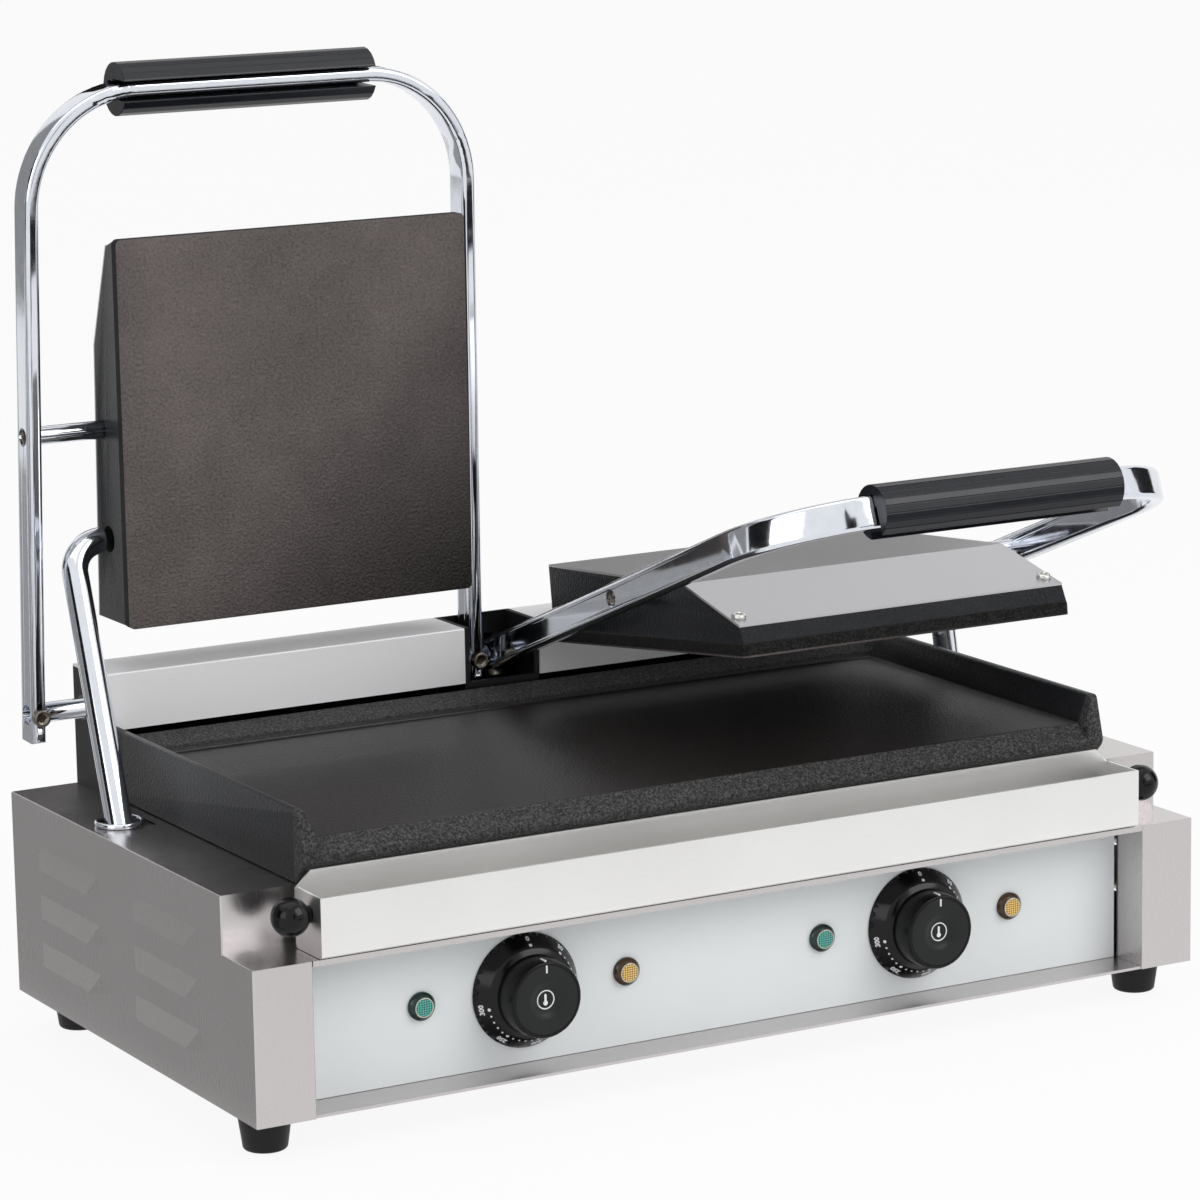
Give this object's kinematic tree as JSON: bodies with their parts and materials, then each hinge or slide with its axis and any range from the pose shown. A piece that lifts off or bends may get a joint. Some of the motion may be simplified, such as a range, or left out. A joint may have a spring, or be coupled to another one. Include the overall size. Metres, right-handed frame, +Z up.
{
  "type": "contact grill",
  "caption": "Countertop contact grill with a wide lower plate, two hinged and tilting upper plates on U-shaped handles, conduits, dials, lamps and a drip tray.",
  "frame": {"origin": "middle of the whole object's box, on the table under the feet", "axes": "+X to the right seen from the front, +Y to the back, +Z up; the left lid is stored open and upright, the right lid part open"},
  "size_m": [0.5772, 0.3504, 0.5248],
  "materials": {
    "stainless": "brushed stainless sheet",
    "bright_stainless": "bright cold-rolled stainless sheet",
    "pale_panel": "smooth pale blue-grey panel",
    "chrome": "bright chrome plating",
    "black_iron": "black enamelled grey iron, sand-cast texture",
    "black_steel": "black painted sheet",
    "black_plastic": "black thermoset plastic",
    "grip_plastic": "black satin plastic",
    "black_rubber": "moulded rubber",
    "green_lens": "ribbed translucent lens",
    "amber_lens": "ribbed translucent lens",
    "zinc_screw": "zinc-plated screws",
    "heater_steel": "heat-tinted tube",
    "galvanised": "galvanised inner sheet",
    "spring_steel": "oiled spring wire",
    "bronze_bush": "plain bearing bush",
    "pale_plastic": "heat-proof moulded body"
  },
  "bodies": {
    "housing": {"base_pan": "galvanised", "left_side_cover": "stainless", "right_side_cover": "stainless", "front_ledge": "stainless", "control_panel": "pale_panel", "rear_panel": "stainless", "lower_casting": "black_iron", "left_lower_element": "heater_steel", "right_lower_element": "heater_steel", "element_clamps": "galvanised", "heat_shield": "galvanised", "rear_box": "black_steel", "left_rear_cover": "bright_stainless", "right_rear_cover": "bright_stainless", "hinge_bracket": "black_steel", "shaft_bushes": "bronze_bush", "left_counter_spring": "spring_steel", "right_counter_spring": "spring_steel", "left_dial_bezel": "black_plastic", "right_dial_bezel": "black_plastic", "left_thermostat": "pale_plastic", "right_thermostat": "pale_plastic", "lamp_housings": "black_plastic", "left_green_lens": "green_lens", "left_amber_lens": "amber_lens", "right_green_lens": "green_lens", "right_amber_lens": "amber_lens", "terminal_block": "pale_plastic", "cable_gland": "black_plastic", "feet": "black_rubber", "foot_screws": "zinc_screw", "housing_screws": "zinc_screw"},
    "tray": {"drip_tray": "stainless", "tray_knobs": "black_plastic"},
    "left_lid": {"left_handle": "chrome", "left_grip": "grip_plastic", "left_pivot_rods": "chrome", "left_lid_shaft": "chrome", "left_handle_screws": "zinc_screw"},
    "left_plate": {"left_upper_casting": "black_iron", "left_upper_element": "heater_steel", "left_upper_cover": "bright_stainless", "left_cover_screws": "zinc_screw"},
    "left_conduit": {"left_conduit": "chrome"},
    "left_collar": {"left_collar": "chrome"},
    "left_knob": {"left_knob": "black_plastic", "left_knob_shaft": "zinc_screw"},
    "right_lid": {"right_handle": "chrome", "right_grip": "grip_plastic", "right_pivot_rods": "chrome", "right_lid_shaft": "chrome", "right_handle_screws": "zinc_screw"},
    "right_plate": {"right_upper_casting": "black_iron", "right_upper_element": "heater_steel", "right_upper_cover": "bright_stainless", "right_cover_screws": "zinc_screw"},
    "right_conduit": {"right_conduit": "chrome"},
    "right_collar": {"right_collar": "chrome"},
    "right_knob": {"right_knob": "black_plastic", "right_knob_shaft": "zinc_screw"}
  },
  "joints": [
    {"name": "tray_slide", "type": "slide", "parent": "housing", "child": "tray", "axis": [0, -1, 0], "range_m": [0, 0.03]},
    {"name": "left_lid_hinge", "type": "hinge", "parent": "housing", "child": "left_lid", "pos_m": [-0.1407, 0.15141, 0.1755], "axis": [-1, 0, 0], "range_deg": [-84.39, 0]},
    {"name": "left_plate_tilt", "type": "hinge", "parent": "left_lid", "child": "left_plate", "pos_m": [-0.1407, 0.14609, 0.32781], "axis": [-1, 0, 0], "range_deg": [-5.63, 0]},
    {"name": "left_conduit_swing", "type": "hinge", "parent": "left_plate", "child": "left_conduit", "pos_m": [-0.2535, 0.14229, 0.26831], "axis": [-1, 0, 0], "range_deg": [0, 55.08]},
    {"name": "left_collar_slide", "type": "slide", "parent": "housing", "child": "left_collar", "axis": [1, 0, 0], "range_m": [0, 0.00841]},
    {"name": "left_knob_turn", "type": "hinge", "parent": "housing", "child": "left_knob", "pos_m": [-0.12, -0.13859, 0.0604], "axis": [0, 1, 0], "range_deg": [0, 258]},
    {"name": "right_lid_hinge", "type": "hinge", "parent": "housing", "child": "right_lid", "pos_m": [0.1407, 0.15141, 0.1755], "axis": [-1, 0, 0], "range_deg": [-17.69, 36]},
    {"name": "right_plate_tilt", "type": "hinge", "parent": "right_lid", "child": "right_plate", "pos_m": [0.1407, 0.00942, 0.23086], "axis": [-1, 0, 0], "range_deg": [-21.16, 10.41]},
    {"name": "right_conduit_swing", "type": "hinge", "parent": "right_plate", "child": "right_conduit", "pos_m": [0.2535, 0.06795, 0.21953], "axis": [-1, 0, 0], "range_deg": [-1.39, 2.8]},
    {"name": "right_collar_slide", "type": "slide", "parent": "housing", "child": "right_collar", "axis": [1, 0, 0], "range_m": [-0.00294, 0.00588]},
    {"name": "right_knob_turn", "type": "hinge", "parent": "housing", "child": "right_knob", "pos_m": [0.12, -0.13859, 0.0604], "axis": [0, 1, 0], "range_deg": [0, 258]}
  ],
  "couplings": [
    {"joint": "left_plate_tilt", "follows": "left_lid_hinge", "ratio": 0.0665},
    {"joint": "left_conduit_swing", "follows": "left_lid_hinge", "ratio": -0.6525},
    {"joint": "left_collar_slide", "follows": "left_lid_hinge", "m_per_rad": -0.00564},
    {"joint": "right_plate_tilt", "follows": "right_lid_hinge", "ratio": -0.5873},
    {"joint": "right_conduit_swing", "follows": "right_lid_hinge", "ratio": 0.0773},
    {"joint": "right_collar_slide", "follows": "right_lid_hinge", "m_per_rad": 0.0092}
  ]
}
